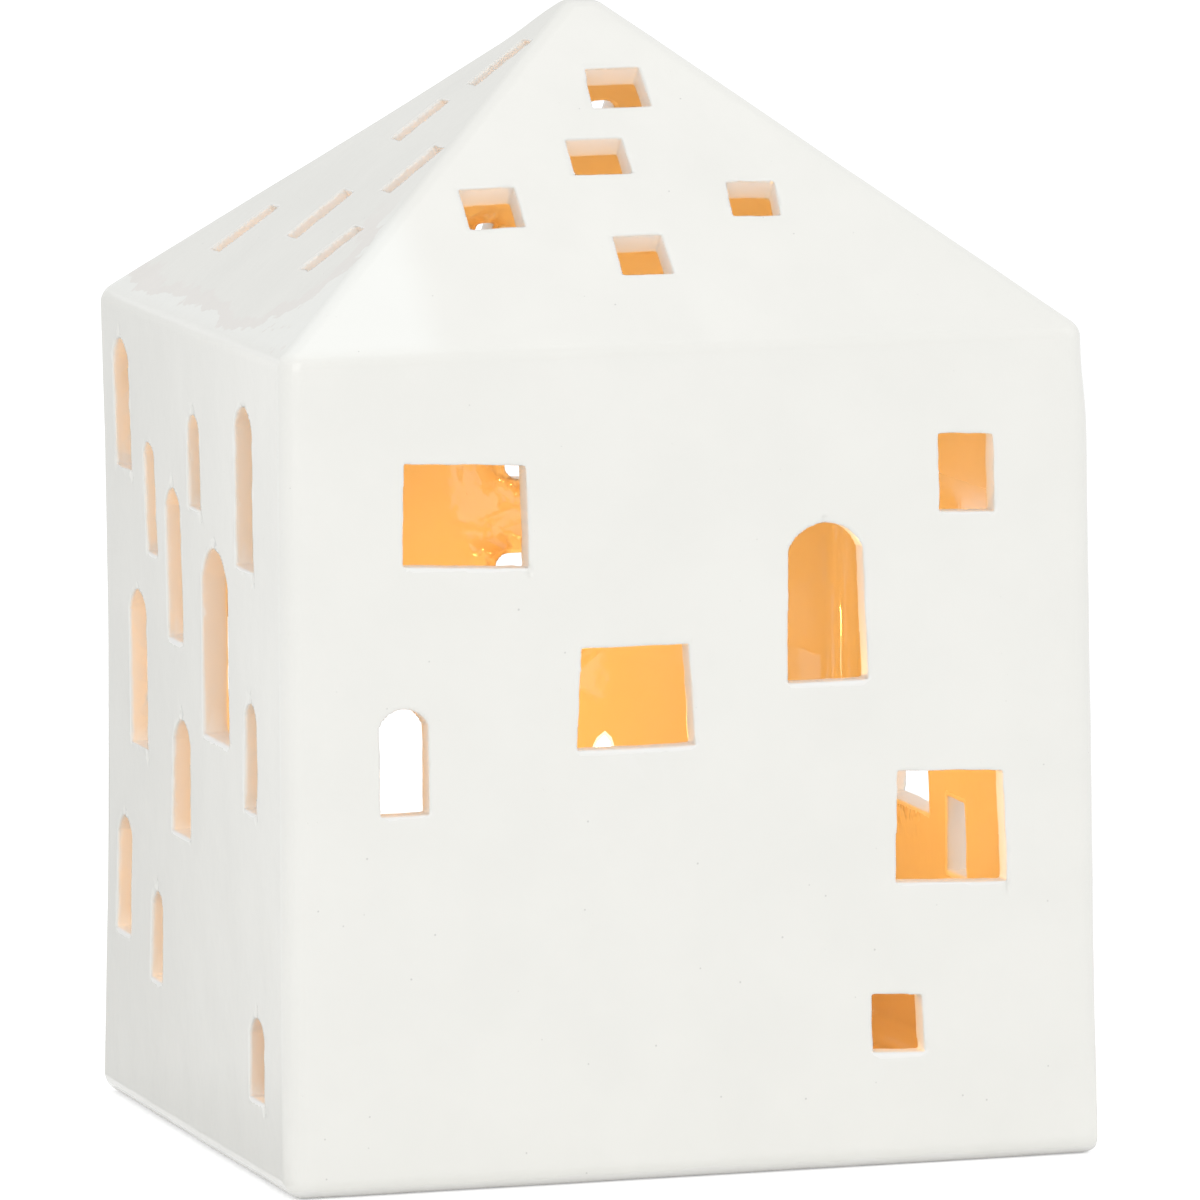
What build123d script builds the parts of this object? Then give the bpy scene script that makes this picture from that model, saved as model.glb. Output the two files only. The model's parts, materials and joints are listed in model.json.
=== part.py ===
"""Tealight house: a cast ceramic house with cut windows that stands over a tealight.

Millimetres, +Z up. The origin is the middle of the house on the table top,
the front wall looks along -Y, and the roof's tip is over the origin.
"""
import os
from math import hypot

from build123d import *

# House, over its outside faces
house_width = 96.0
house_depth = 84.5
eave_height = 94.8
roof_rise = 37.4
wall_lean = 0.75
tip_loss = 1.5
edge_radius = 2.4

# House, inside
shell_wall = 3.2
inner_radius = 3.0
foot_ledge = 8.0
foot_hole_chamfer = 0.9

# Windows
worn_corner_radius = 1.6
cut_overrun = 0.8

# Tealight cup
cup_radius = 18.6
cup_height = 15.6
cup_wall = 0.3
cup_heel = 1.4
rim_reach = 0.7
rim_drop = 0.9
rim_bevel = 0.3

# Candle
wax_height = 12.2
wax_clearance = 0.25
melt_depth = 0.7
melt_radius = 13.0
melt_floor_radius = 10.5
wick_radius = 0.8
wick_showing = 8.5
wick_bend_radius = 5.0
wick_bend_angle = 38.0
sustainer_radius = 6.4
sustainer_thickness = 0.3
neck_radius = 1.3
neck_height = 3.2

# Each row is one window: its middle across and up the wall, its width and height,
# how much wider its sill is than its head, how far its head leans across, and how far
# its head and sill slope. Across goes to the right, seen from outside. Places and sizes
# across are shares of the wall's width, and the rest are shares of its height.
front_square_shares = (
    (-0.273, 0.808, 0.150, 0.122, 0.004, 0.000, -0.008),
    (-0.068, 0.583, 0.137, 0.121, 0.013, 0.000, 0.000),
    (0.342, 0.834, 0.067, 0.093, 0.000, -0.001, -0.003),
    (0.319, 0.409, 0.134, 0.134, 0.008, 0.000, -0.005),
    (0.251, 0.174, 0.063, 0.070, 0.003, -0.002, -0.003),
)
front_arch_shares = (
    (0.168, 0.686, 0.095, 0.190, 0.006, -0.002, 0.000),
    (-0.351, 0.518, 0.058, 0.126, 0.000, 0.000, 0.000),
)
left_arch_shares = (
    (-0.365, 0.873, 0.084, 0.159, 0.000, -0.006, 0.000),
    (-0.379, 0.287, 0.078, 0.145, 0.004, 0.004, 0.000),
    (-0.297, 0.552, 0.093, 0.192, 0.000, -0.006, 0.000),
    (-0.219, 0.770, 0.056, 0.136, 0.002, -0.012, 0.000),
    (-0.195, 0.232, 0.061, 0.110, 0.006, 0.003, 0.000),
    (-0.093, 0.701, 0.080, 0.184, 0.000, -0.010, 0.000),
    (-0.061, 0.443, 0.097, 0.140, 0.010, 0.004, 0.000),
    (0.022, 0.837, 0.064, 0.112, 0.002, -0.004, 0.000),
    (0.127, 0.626, 0.137, 0.230, 0.000, -0.004, 0.000),
    (0.286, 0.831, 0.088, 0.194, 0.000, 0.000, 0.000),
    (0.312, 0.510, 0.062, 0.130, 0.004, 0.004, 0.000),
    (0.340, 0.151, 0.072, 0.098, 0.000, 0.000, 0.000),
)
back_square_shares = (
    (-0.074, 0.806, 0.115, 0.118, 0.003, 0.000, 0.002),
    (-0.050, 0.593, 0.099, 0.121, 0.002, 0.000, 0.000),
    (0.307, 0.844, 0.073, 0.084, 0.000, 0.003, 0.000),
    (0.359, 0.543, 0.073, 0.095, 0.003, 0.000, -0.002),
    (-0.208, 0.190, 0.063, 0.084, 0.000, -0.002, 0.003),
)
back_arch_shares = (
    (0.117, 0.393, 0.120, 0.195, 0.000, 0.000, 0.000),
    (-0.271, 0.670, 0.083, 0.137, 0.002, 0.002, 0.000),
    (0.320, 0.195, 0.068, 0.137, 0.003, -0.003, 0.000),
)
right_square_shares = (
    (0.217, 0.416, 0.208, 0.138, 0.003, 0.000, 0.002),
    (-0.011, 0.330, 0.084, 0.093, 0.004, 0.000, 0.000),
    (0.172, 0.741, 0.107, 0.111, 0.004, 0.003, -0.003),
    (-0.071, 0.578, 0.095, 0.100, 0.000, -0.002, 0.002),
    (0.358, 0.876, 0.077, 0.105, 0.002, 0.000, 0.000),
)
right_arch_shares = (
    (-0.325, 0.802, 0.107, 0.169, 0.002, 0.003, 0.000),
    (-0.361, 0.475, 0.083, 0.148, 0.000, -0.003, 0.000),
    (-0.308, 0.156, 0.071, 0.111, 0.003, 0.000, 0.000),
    (0.343, 0.612, 0.071, 0.094, 0.000, 0.002, 0.000),
    (-0.130, 0.169, 0.071, 0.095, 0.003, 0.003, 0.000),
)
# On the roof, up is along the slope from the eave, as a share of the slope's length.
front_roof_square_shares = (
    (0.009, 0.715, 0.069, 0.108, 0.005, 0.001, 0.000),
    (-0.039, 0.525, 0.070, 0.099, 0.002, 0.000, 0.000),
    (-0.187, 0.394, 0.068, 0.111, 0.000, 0.000, 0.003),
    (0.135, 0.394, 0.058, 0.094, 0.000, 0.005, -0.003),
    (-0.021, 0.251, 0.060, 0.108, 0.003, 0.000, 0.000),
)
left_roof_square_shares = (
    (0.024, 0.783, 0.045, 0.133, 0.000, 0.014, 0.000),
    (-0.022, 0.604, 0.045, 0.119, 0.000, 0.014, 0.000),
    (0.157, 0.492, 0.047, 0.131, 0.000, 0.009, 0.000),
    (-0.208, 0.248, 0.045, 0.138, 0.000, 0.030, 0.000),
    (0.008, 0.333, 0.050, 0.136, 0.000, 0.012, 0.000),
    (0.199, 0.269, 0.045, 0.126, 0.000, 0.018, 0.000),
)
back_roof_square_shares = (
    (0.156, 0.313, 0.063, 0.133, 0.002, 0.000, 0.000),
    (-0.206, 0.240, 0.057, 0.120, 0.000, 0.003, 0.002),
    (0.068, 0.480, 0.052, 0.120, 0.000, 0.000, -0.002),
)
back_roof_arch_shares = (
    (-0.060, 0.617, 0.039, 0.124, 0.000, 0.000, 0.000),
    (0.034, 0.215, 0.020, 0.102, 0.000, 0.000, 0.000),
)
right_roof_square_shares = (
    (-0.030, 0.775, 0.045, 0.120, 0.000, -0.010, 0.000),
    (0.075, 0.585, 0.047, 0.130, 0.000, -0.012, 0.000),
    (-0.120, 0.520, 0.045, 0.126, 0.000, 0.006, 0.000),
    (0.015, 0.340, 0.050, 0.136, 0.000, -0.008, 0.000),
    (0.215, 0.262, 0.045, 0.133, 0.000, -0.016, 0.000),
    (-0.190, 0.245, 0.045, 0.128, 0.000, 0.012, 0.000),
)
arch_rise_share = 0.34


def wall_face(across_x, across_y, half):
    """Outer face of the wall whose outside looks along (across_x, across_y)."""
    slant = hypot(eave_height, wall_lean)
    level = eave_height / slant
    return Plane(
        origin=(across_x * half, across_y * half, 0),
        x_dir=(-across_y, across_x, 0),
        z_dir=(across_x * level, across_y * level, wall_lean / slant),
    )


def roof_face(across_x, across_y, half):
    """Outer face of the roof slope above that wall, from the middle of its eave."""
    run = half - wall_lean
    slope = hypot(run, roof_rise)
    level = roof_rise / slope
    return Plane(
        origin=(across_x * run, across_y * run, eave_height),
        x_dir=(-across_y, across_x, 0),
        z_dir=(across_x * level, across_y * level, run / slope),
    )


def roof_slope_length(half):
    """Length of a roof slope, up its middle from the eave to the sharp tip."""
    return hypot(half - wall_lean, roof_rise)


half_width = house_width / 2
half_depth = house_depth / 2
foot_hole_radius = min(half_width, half_depth) - shell_wall - foot_ledge
front_wall = wall_face(0, -1, half_depth)
right_wall = wall_face(1, 0, half_width)
back_wall = wall_face(0, 1, half_depth)
left_wall = wall_face(-1, 0, half_width)
front_roof = roof_face(0, -1, half_depth)
right_roof = roof_face(1, 0, half_width)
back_roof = roof_face(0, 1, half_depth)
left_roof = roof_face(-1, 0, half_width)
foot_face = Plane.XY.rotated((180, 0, 0))
tip_face = Plane.XY.offset(eave_height + roof_rise - tip_loss)
house_faces = (
    front_wall, right_wall, back_wall, left_wall,
    front_roof, right_roof, back_roof, left_roof,
    foot_face, tip_face,
)


def rounded_house(inset, radius):
    """The house's block, each face moved in by inset, with every edge rounded."""
    with BuildPart() as block:
        Box(2 * house_width, 2 * house_depth, 3 * eave_height)
        for face in house_faces:
            split(bisect_by=face.offset(-inset - radius), keep=Keep.BOTTOM)
        offset(amount=radius, kind=Kind.ARC)
    return block.part


def window_corners(row, wall_width, wall_height):
    """Sill left and right, head right and left, of one row of a window table."""
    middle = row[0] * wall_width
    height_up = row[1] * wall_height
    half_sill = (row[2] + row[4] / 2) * wall_width / 2
    half_head = (row[2] - row[4] / 2) * wall_width / 2
    half_height = row[3] * wall_height / 2
    lean = row[5] * wall_width / 2
    slope = row[6] * wall_height / 2
    return (
        (middle - lean - half_sill, height_up - half_height - slope),
        (middle - lean + half_sill, height_up - half_height + slope),
        (middle + lean + half_head, height_up + half_height + slope),
        (middle + lean - half_head, height_up + half_height - slope),
    )


def window_openings(square_rows, arch_rows, wall_width, wall_height):
    """Outlines of a wall's four-cornered and round-headed windows, flat on the wall."""
    with BuildSketch() as openings:
        for row in square_rows:
            with BuildLine():
                Polyline(*window_corners(row, wall_width, wall_height), close=True)
            make_face()
        for row in arch_rows:
            sill_left, sill_right, head_right, head_left = window_corners(row, wall_width, wall_height)
            rise = arch_rise_share * (head_right[0] - head_left[0])
            spring_right = (head_right[0], head_right[1] - rise)
            spring_left = (head_left[0], head_left[1] - rise)
            crown = ((head_left[0] + head_right[0]) / 2, head_left[1])
            with BuildLine():
                Polyline(spring_left, sill_left, sill_right, spring_right)
                ThreePointArc(spring_right, crown, spring_left)
            make_face()
    return openings.sketch


def worn_openings(openings, corner_radius):
    """The same outlines with the corners of their sills and square heads rounded."""
    with BuildSketch() as worn:
        add(openings)
        for opening in worn.faces():
            is_arch = len(opening.edges().filter_by(GeomType.CIRCLE)) > 0
            corners = opening.vertices().sort_by(Axis.Y)[:2] if is_arch else opening.vertices()
            fillet(corners, corner_radius)
    return worn.sketch


# House shell: one casting, open underneath inside its turned-in foot
outer_block = rounded_house(0, edge_radius)
inner_block = rounded_house(shell_wall, inner_radius)
side_slope = roof_slope_length(half_width)
front_slope = roof_slope_length(half_depth)

front_openings = window_openings(front_square_shares, front_arch_shares, house_width, eave_height)
left_openings = window_openings((), left_arch_shares, house_depth, eave_height)
back_openings = worn_openings(
    window_openings(back_square_shares, back_arch_shares, house_width, eave_height), worn_corner_radius
)
right_openings = window_openings(right_square_shares, right_arch_shares, house_depth, eave_height)
front_roof_openings = window_openings(front_roof_square_shares, (), house_width, front_slope)
left_roof_openings = window_openings(left_roof_square_shares, (), house_depth, side_slope)
back_roof_openings = window_openings(
    back_roof_square_shares, back_roof_arch_shares, house_width, front_slope
)
right_roof_openings = window_openings(right_roof_square_shares, (), house_depth, side_slope)

with BuildPart() as house_shell:
    add(outer_block)
    add(inner_block, mode=Mode.SUBTRACT)
    with BuildSketch():
        Circle(foot_hole_radius)
    extrude(amount=shell_wall, mode=Mode.SUBTRACT)
    hole_edges = house_shell.edges().filter_by(GeomType.CIRCLE).sort_by(SortBy.RADIUS)[-2:]
    chamfer(hole_edges, foot_hole_chamfer)

    for face, openings in (
        (front_wall, front_openings),
        (left_wall, left_openings),
        (back_wall, back_openings),
        (right_wall, right_openings),
        (front_roof, front_roof_openings),
        (left_roof, left_roof_openings),
        (back_roof, back_roof_openings),
        (right_roof, right_roof_openings),
    ):
        with BuildSketch(face):
            add(openings)
        extrude(amount=shell_wall + cut_overrun, both=True, mode=Mode.SUBTRACT)

# Tealight cup: thin pressed aluminium, its rim rolled outwards into a bead
rim_radius = cup_radius + rim_reach

with BuildPart() as tealight_cup:
    with BuildSketch(Plane.XZ):
        with BuildLine():
            Polyline(
                (0, 0),
                (cup_radius - cup_heel, 0),
                (cup_radius, cup_heel),
                (cup_radius, cup_height - rim_drop),
                (rim_radius, cup_height - rim_drop),
                (rim_radius, cup_height - rim_bevel),
                (rim_radius - rim_bevel, cup_height),
                (cup_radius - cup_wall, cup_height),
                (cup_radius - cup_wall, cup_heel),
                (cup_radius - cup_heel, cup_wall),
                (0, cup_wall),
                close=True,
            )
        make_face()
    revolve(axis=Axis.Z)

# Wax: one block with a melt pool on top, around the wick and its sustainer
wax_radius = cup_radius - cup_wall - wax_clearance
wax_top = cup_wall + wax_height
sustainer_top = cup_wall + sustainer_thickness
neck_top = sustainer_top + neck_height

with BuildPart() as wax:
    with BuildSketch(Plane.XZ):
        with BuildLine():
            Polyline(
                (wick_radius, wax_top - melt_depth),
                (wick_radius, neck_top),
                (neck_radius, neck_top),
                (neck_radius, sustainer_top),
                (sustainer_radius, sustainer_top),
                (sustainer_radius, cup_wall),
                (wax_radius - cup_heel, cup_wall),
                (wax_radius, cup_wall + cup_heel),
                (wax_radius, wax_top),
                (melt_radius, wax_top),
                (melt_floor_radius, wax_top - melt_depth),
                close=True,
            )
        make_face()
    revolve(axis=Axis.Z)

# Wick sustainer: a thin disc with a neck crimped round the wick
with BuildPart() as wick_sustainer:
    with BuildSketch(Plane.XY.offset(cup_wall)):
        Circle(sustainer_radius)
    extrude(amount=sustainer_thickness)
    with BuildSketch(Plane.XY.offset(sustainer_top)):
        Circle(neck_radius)
        Circle(wick_radius, mode=Mode.SUBTRACT)
    extrude(amount=neck_height)

# Wick: straight through the wax, with its burnt end bent over
wick_straight_top = wax_top + wick_showing / 2

with BuildPart() as wick:
    with BuildLine(Plane.XZ) as wick_path:
        Line((0, sustainer_top), (0, wick_straight_top))
        JernArc((0, wick_straight_top), (0, 1), wick_bend_radius, -wick_bend_angle)
    with BuildSketch(Plane.XY.offset(sustainer_top)):
        Circle(wick_radius)
    sweep(path=wick_path.line)

os.makedirs("parts", exist_ok=True)
for name, piece in (
    ("house_shell", house_shell),
    ("tealight_cup", tealight_cup),
    ("wax", wax),
    ("wick_sustainer", wick_sustainer),
    ("wick", wick),
):
    piece.part.label = name
    export_step(piece.part, f"parts/{name}.step")
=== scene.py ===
import json
import random
from math import cos, pi, radians, sin, tau

import bmesh
import bpy
import numpy as np
from mathutils import Matrix, Vector

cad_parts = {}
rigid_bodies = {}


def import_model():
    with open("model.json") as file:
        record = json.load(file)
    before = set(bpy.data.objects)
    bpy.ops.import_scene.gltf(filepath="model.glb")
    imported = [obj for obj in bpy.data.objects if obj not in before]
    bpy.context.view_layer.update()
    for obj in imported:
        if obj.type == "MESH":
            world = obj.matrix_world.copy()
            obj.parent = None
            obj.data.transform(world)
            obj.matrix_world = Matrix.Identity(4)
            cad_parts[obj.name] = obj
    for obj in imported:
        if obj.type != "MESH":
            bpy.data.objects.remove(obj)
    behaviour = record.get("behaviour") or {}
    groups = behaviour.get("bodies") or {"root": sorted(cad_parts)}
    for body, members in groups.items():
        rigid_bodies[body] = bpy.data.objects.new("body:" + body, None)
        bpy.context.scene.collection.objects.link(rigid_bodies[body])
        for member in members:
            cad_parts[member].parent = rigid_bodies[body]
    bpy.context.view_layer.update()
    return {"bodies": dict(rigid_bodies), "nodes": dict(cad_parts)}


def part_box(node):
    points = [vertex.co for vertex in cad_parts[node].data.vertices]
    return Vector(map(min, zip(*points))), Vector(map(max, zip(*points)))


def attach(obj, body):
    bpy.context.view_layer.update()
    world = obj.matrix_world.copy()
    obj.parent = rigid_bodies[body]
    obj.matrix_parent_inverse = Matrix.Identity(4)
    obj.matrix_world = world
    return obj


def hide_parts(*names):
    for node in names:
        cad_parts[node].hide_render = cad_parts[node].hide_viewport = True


# Looks of the tealight house: its glazed shell, the tealight that burns in it and the studio.
# Metres, +Z up, with the front wall towards -Y.

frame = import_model()

MM = 0.001
join_distance = 0.002 * MM

# Places that the glaze and the candle follow, read from the frame
house_low, house_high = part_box("house_shell")
_, cup_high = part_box("tealight_cup")
wax_low, wax_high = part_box("wax")
wick_low, wick_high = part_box("wick")
sustainer_low, sustainer_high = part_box("wick_sustainer")
eave_share = 0.725
eave_height = eave_share * house_high.z

# House shell
shell_depth = 9
shell_fill = 0.75
shell_triangles = 190000
sharp_edge = radians(55)
skin_area = 300 * MM * MM
skin_step = 0.2 * MM
skin_reach = 0.25 * MM
square_corners = 6
head_nick_chance = 0.7
sill_nick_chance = 0.55
roof_normal_z = 0.3

# Glaze: the painted reflection band on the left slope, its fine relief and how far the inner wall turns
slope_per_rise = 1.6
band_hip_share = 0.66
band_corner = 10 * MM
band_raggedness = 15 * MM
band_low_edge = (2.6 * MM, 2.9 * MM)
band_high_edge = (4.6 * MM, 5.4 * MM)
peel_depth = 0.012 * MM
back_wall_turn = 0.042

# Candle
cup_wall = 0.16 * MM
cup_flutes = 44
flame_tip = Vector((2.2, 0, 45.7)) * MM
flame_base = 15.6 * MM
flame_radius = 3.3 * MM
candle_light_place = Vector((0.8, 0, 44)) * MM
candle_light_radius = 2.2 * MM
candle_light_watts = 0.0385

# Camera, as the photograph was taken, its lens and sensor in millimetres
camera_place = Vector((-430.2, -1453.61, 252.03)) * MM
camera_azimuth = radians(16.55)
camera_elevation = radians(7.18)
camera_roll = radians(-0.56)
camera_lens = 396.37
camera_sensor = 36.0

# Studio
floor_half_side = 6.0
floor_glow_seen = 0.4
floor_glow_reflected = 0.32
world_strength = 0.83
lamp_target = Vector((0, 0, 0.06))


# Small helpers for node trees

def is_socket(value):
    """Whether the value is a node's socket and not a number or a colour."""
    return isinstance(value, bpy.types.NodeSocket)


def put(tree, kind, inputs=None, **settings):
    """A new node with its settings, and its inputs given as values or as sockets to link."""
    made = tree.nodes.new(kind)
    for name, value in settings.items():
        setattr(made, name, value)
    for name, value in (inputs or {}).items():
        if is_socket(value):
            tree.links.new(value, made.inputs[name])
        else:
            made.inputs[name].default_value = value
    return made


def connect(tree, surface, **sockets):
    """Links sockets to the shader's inputs of these names."""
    for label, socket in sockets.items():
        tree.links.new(socket, surface.inputs[label.replace("_", " ")])


def maths(tree, operation, *values):
    """What a Math node makes of these values or sockets."""
    return put(tree, "ShaderNodeMath", dict(enumerate(values)), operation=operation).outputs[0]


def product(tree, first, *others):
    """What these values or sockets multiply to."""
    for other in others:
        first = maths(tree, "MULTIPLY", first, other)
    return first


def vectors(tree, operation, *values):
    """What a Vector Math node makes of these vectors or sockets."""
    made = put(tree, "ShaderNodeVectorMath", dict(enumerate(values)), operation=operation)
    return made.outputs["Value" if operation == "LENGTH" else "Vector"]


def scaled(tree, vector, factor):
    """A vector times a number."""
    made = put(tree, "ShaderNodeVectorMath", {0: vector, "Scale": factor}, operation="SCALE")
    return made.outputs["Vector"]


def axes_of(tree, vector):
    """The X, Y and Z of a vector."""
    return put(tree, "ShaderNodeSeparateXYZ", {0: vector}).outputs[:]


def vector_of(tree, **axes):
    """A vector with these values for X, Y and Z, the ones not named being 0."""
    return put(tree, "ShaderNodeCombineXYZ", axes).outputs[0]


def flat_of(tree, vector):
    """The vector with a Z of 0."""
    across, deep, _ = axes_of(tree, vector)
    return vector_of(tree, X=across, Y=deep)


def ramp(tree, value, start, end, low=0.0, high=1.0, smooth=True):
    """The value taken from the range start to end into the range low to high, and held there."""
    inputs = {"Value": value, "From Min": start, "From Max": end, "To Min": low, "To Max": high}
    kind = "SMOOTHSTEP" if smooth else "LINEAR"
    return put(tree, "ShaderNodeMapRange", inputs, interpolation_type=kind, clamp=True).outputs["Result"]


def fade(tree, value, start, end):
    """1 where the value is below start, falling to 0 where it is above end."""
    return ramp(tree, value, start, end, 1.0, 0.0)


def noise(tree, vector, size, detail=2.0, roughness=0.5, seed=0.0, output=0):
    """A noise whose lumps are about size across: output 0 is its value and 1 its colour."""
    scale = maths(tree, "DIVIDE", 1.0, size) if is_socket(size) else 1 / size
    inputs = {"Vector": vector, "W": seed, "Scale": scale, "Detail": detail, "Roughness": roughness}
    return put(tree, "ShaderNodeTexNoise", inputs, noise_dimensions="4D").outputs[output]


def mix(tree, share, first, second):
    """A mix of two numbers, which may be sockets."""
    return put(tree, "ShaderNodeMix", {0: share, 2: first, 3: second}, data_type="FLOAT").outputs[0]


def blend(tree, share, first, second):
    """A mix of two colours, each a socket or its red, green and blue."""
    first, second = [colour if is_socket(colour) else (*colour, 1) for colour in (first, second)]
    return put(tree, "ShaderNodeMix", {0: share, 6: first, 7: second}, data_type="RGBA").outputs[2]


def stored(tree, name):
    """The number that the mesh keeps for each point under this name."""
    return put(tree, "ShaderNodeAttribute", attribute_name=name).outputs["Fac"]


def bump(tree, height, depth):
    """A normal that follows a height of 0 to 1, depth being its real size."""
    return put(tree, "ShaderNodeBump", {"Strength": 1.0, "Distance": depth, "Height": height}).outputs[0]


def new_tree(kind, name, inputs, outputs):
    """An empty tree and its two ends, each input given by its number or by the name of its kind."""
    tree = bpy.data.node_groups.new(name, kind)
    for label, value in inputs.items():
        socket_kind = {float: "Float", int: "Int"}.get(type(value), value)
        made = tree.interface.new_socket(label, in_out="INPUT", socket_type="NodeSocket" + socket_kind)
        if socket_kind != value:
            made.default_value = value
    for label, socket_kind in outputs.items():
        tree.interface.new_socket(label, in_out="OUTPUT", socket_type="NodeSocket" + socket_kind)
    return tree, tree.nodes.new("NodeGroupInput"), tree.nodes.new("NodeGroupOutput")


def end_geometry(tree, end, geometry, material):
    """Ends a geometry tree with real geometry that wears the material."""
    real = put(tree, "GeometryNodeRealizeInstances", {0: geometry})
    dressed = put(tree, "GeometryNodeSetMaterial", {"Geometry": real.outputs[0], "Material": material})
    tree.links.new(dressed.outputs[0], end.inputs[0])
    return tree


def emptied_tree(owner):
    """The node tree of a material or a world, with nothing in it."""
    owner.use_nodes = True
    owner.node_tree.nodes.clear()
    return owner.node_tree


# Small helpers for objects

def new_object(name, data):
    """An object at the origin with this mesh, curve, lamp or camera."""
    made = bpy.data.objects.new(name, data)
    bpy.context.scene.collection.objects.link(made)
    return made


def evaluated_mesh(obj):
    """A plain mesh of the object as its modifiers leave it."""
    depsgraph = bpy.context.evaluated_depsgraph_get()
    return bpy.data.meshes.new_from_object(
        obj.evaluated_get(depsgraph), preserve_all_data_layers=True, depsgraph=depsgraph
    )


def settle(obj):
    """Makes what the object's modifiers do part of its mesh."""
    finished = evaluated_mesh(obj)
    obj.modifiers.clear()
    obj.data = finished
    return obj


def add_tree(obj, tree, values):
    """Puts a geometry tree on the object, with these named values."""
    modifier = obj.modifiers.new(tree.name, "NODES")
    modifier.node_group = tree
    for item in tree.interface.items_tree:
        if item.item_type == "SOCKET" and item.in_out == "INPUT" and item.name in values:
            modifier[item.identifier] = values[item.name]
    return obj


def smooth_faces(mesh):
    """Shades every face of the mesh smooth."""
    mesh.shade_smooth()
    return mesh


def points_of(mesh):
    """The mesh's points as rows of X, Y and Z."""
    points = np.empty(len(mesh.vertices) * 3)
    mesh.vertices.foreach_get("co", points)
    return points.reshape(-1, 3)


# Shader groups that more than one material uses

def make_mottle_group():
    """A soft unevenness of tone, as in glaze, clay and wax."""
    inputs = {"Vector": "Vector", "Size": 8 * MM}
    tree, start, end = new_tree("ShaderNodeTree", "mottle", inputs, {"Mask": "Float"})
    coarse = noise(tree, start.outputs["Vector"], start.outputs["Size"], detail=3.0)
    tree.links.new(ramp(tree, coarse, 0.3, 0.7), end.inputs["Mask"])
    return tree


def make_specks_group():
    """Sparse round specks, as iron spots and pinholes in glaze or soot in wax."""
    inputs = {"Vector": "Vector", "Spacing": 2 * MM, "Radius Share": 0.1, "Filled Share": 0.3}
    tree, start, end = new_tree("ShaderNodeTree", "specks", inputs, {"Mask": "Float"})
    given = start.outputs
    scale = maths(tree, "DIVIDE", 1.0, given["Spacing"])
    inputs = {"Vector": given["Vector"], "Scale": scale, "Randomness": 1.0}
    cells = put(tree, "ShaderNodeTexVoronoi", inputs)
    draw = put(tree, "ShaderNodeSeparateColor", {0: cells.outputs["Color"]})
    present = maths(tree, "LESS_THAN", draw.outputs[0], given["Filled Share"])
    spread = maths(tree, "MULTIPLY_ADD", draw.outputs[1], 0.8, 0.5)
    radius = product(tree, given["Radius Share"], spread)
    dot = fade(tree, cells.outputs["Distance"], product(tree, radius, 0.4), radius)
    tree.links.new(product(tree, dot, present), end.inputs["Mask"])
    return tree


def make_drawn_metal_group():
    """Fine rings left by a pressing tool, with a few handling marks."""
    inputs = {"Vector": "Vector", "Ring Spacing": 0.25 * MM, "Dent Size": 3 * MM}
    outputs = {"Height": "Float", "Rub": "Float"}
    tree, start, end = new_tree("ShaderNodeTree", "drawn_metal", inputs, outputs)
    given = start.outputs
    radius = vectors(tree, "LENGTH", flat_of(tree, given["Vector"]))
    along = vector_of(tree, X=radius, Y=axes_of(tree, given["Vector"])[2])
    rings = noise(tree, along, given["Ring Spacing"])
    dents = noise(tree, given["Vector"], given["Dent Size"], detail=3.0, seed=4.0)
    tree.links.new(maths(tree, "MULTIPLY_ADD", dents, 6.0, rings), end.inputs["Height"])
    tree.links.new(ramp(tree, dents, 0.35, 0.65), end.inputs["Rub"])
    return tree


mottle_group = make_mottle_group()
specks_group = make_specks_group()
drawn_metal_group = make_drawn_metal_group()


def mottle(tree, place, size):
    """The mask of the mottle group."""
    values = {"Vector": place, "Size": size}
    return put(tree, "ShaderNodeGroup", values, node_tree=mottle_group).outputs["Mask"]


def specks(tree, place, spacing, radius_share, filled_share):
    """The mask of the specks group."""
    values = {"Vector": place, "Spacing": spacing}
    values |= {"Radius Share": radius_share, "Filled Share": filled_share}
    return put(tree, "ShaderNodeGroup", values, node_tree=specks_group).outputs["Mask"]


def new_material(name, **constants):
    """A material with one Principled BSDF, its tree, that node and Object coordinates."""
    made = bpy.data.materials.new(name)
    made.use_nodes = True
    tree = made.node_tree
    surface = tree.nodes["Principled BSDF"]
    for label, value in constants.items():
        surface.inputs[label.replace("_", " ")].default_value = value
    place = tree.nodes.new("ShaderNodeTexCoord").outputs["Object"]
    return made, tree, surface, place


# Glaze of the house

def painted_slope_reflection(tree, place, glaze):
    """A darker, ragged band on the left slope near the eave, painted as a reflection in the glossy glaze,
    and a whiter strip below it.
    """
    across, deep, height = axes_of(tree, place)
    up_slope = product(tree, maths(tree, "SUBTRACT", height, eave_height), slope_per_rise)
    out = maths(tree, "ABSOLUTE", across)
    from_hip = maths(tree, "MULTIPLY_ADD", out, house_high.y / house_high.x, deep)
    from_hip = product(tree, from_hip, band_hip_share)
    edge = maths(tree, "SMOOTH_MIN", up_slope, from_hip, band_corner)
    ragged = noise(tree, place, 13 * MM, detail=5.0, roughness=0.62, seed=2.0)
    ragged = maths(tree, "SUBTRACT", ragged, 0.5)
    edge = maths(tree, "MULTIPLY_ADD", ragged, -band_raggedness, edge)
    above = ramp(tree, edge, *band_low_edge)
    at_left = ramp(tree, across, -32 * MM, -26 * MM, 0.9, 0.0)
    band = product(tree, above, fade(tree, edge, *band_high_edge), at_left)
    glaze = blend(tree, band, glaze, (0.862, 0.822, 0.782))
    below = product(tree, maths(tree, "SUBTRACT", 1.0, above), at_left)
    below = product(tree, below, ramp(tree, height, eave_height - 0.5 * MM, eave_height + 1.5 * MM))
    return blend(tree, below, glaze, (0.93, 0.93, 0.89))


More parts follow.
